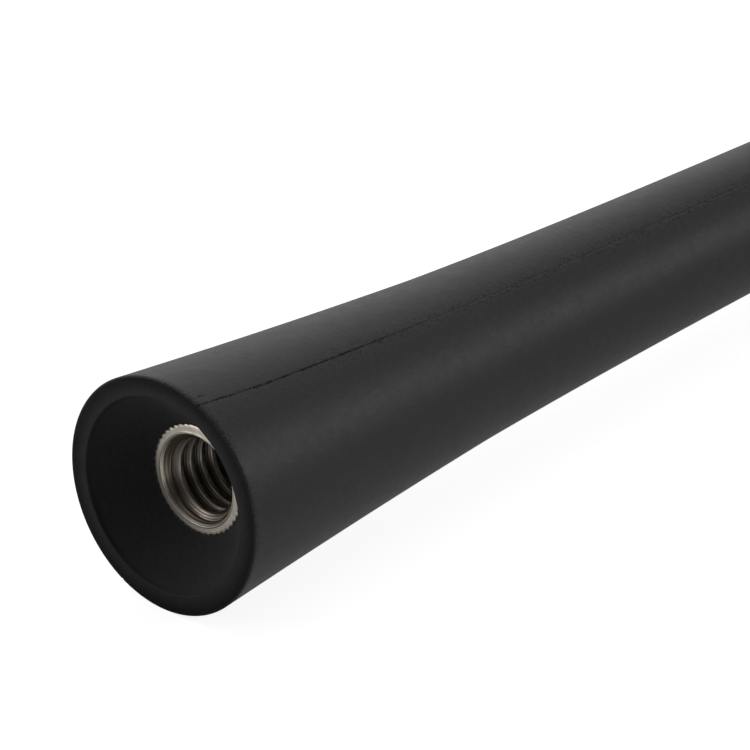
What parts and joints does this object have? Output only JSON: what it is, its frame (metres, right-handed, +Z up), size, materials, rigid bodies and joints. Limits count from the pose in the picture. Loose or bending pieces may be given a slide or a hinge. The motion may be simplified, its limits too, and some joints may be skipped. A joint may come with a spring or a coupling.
{
  "type": "car mast aerial",
  "caption": "Short rubber car mast aerial: a tapered whip with a flared foot, a recessed threaded metal insert, and a wound wire on a core rod inside.",
  "frame": {"origin": "on the surface it lies on, below the middle of its length", "axes": "+X from the foot towards the tip, +Z up; the mast's own axis dips 1.36 degrees towards the tip, as it does when the mast lies on its rim and its tip"},
  "size_m": [0.2302, 0.0162, 0.0163],
  "materials": {
    "rubber": "satin black moulded rubber",
    "plated_brass": "turned, nickel plated",
    "glass_fibre": "pultruded glass fibre",
    "enamelled_copper": "enamelled copper wire",
    "solder": "tin solder",
    "sleeve_plastic": "heat-shrunk tube"
  },
  "bodies": {
    "root": {"sheath": "rubber", "threaded_insert": "plated_brass", "core_rod": "glass_fibre", "antenna_wire": "enamelled_copper", "solder_joint": "solder", "shrink_sleeve": "sleeve_plastic"}
  },
  "joints": []
}
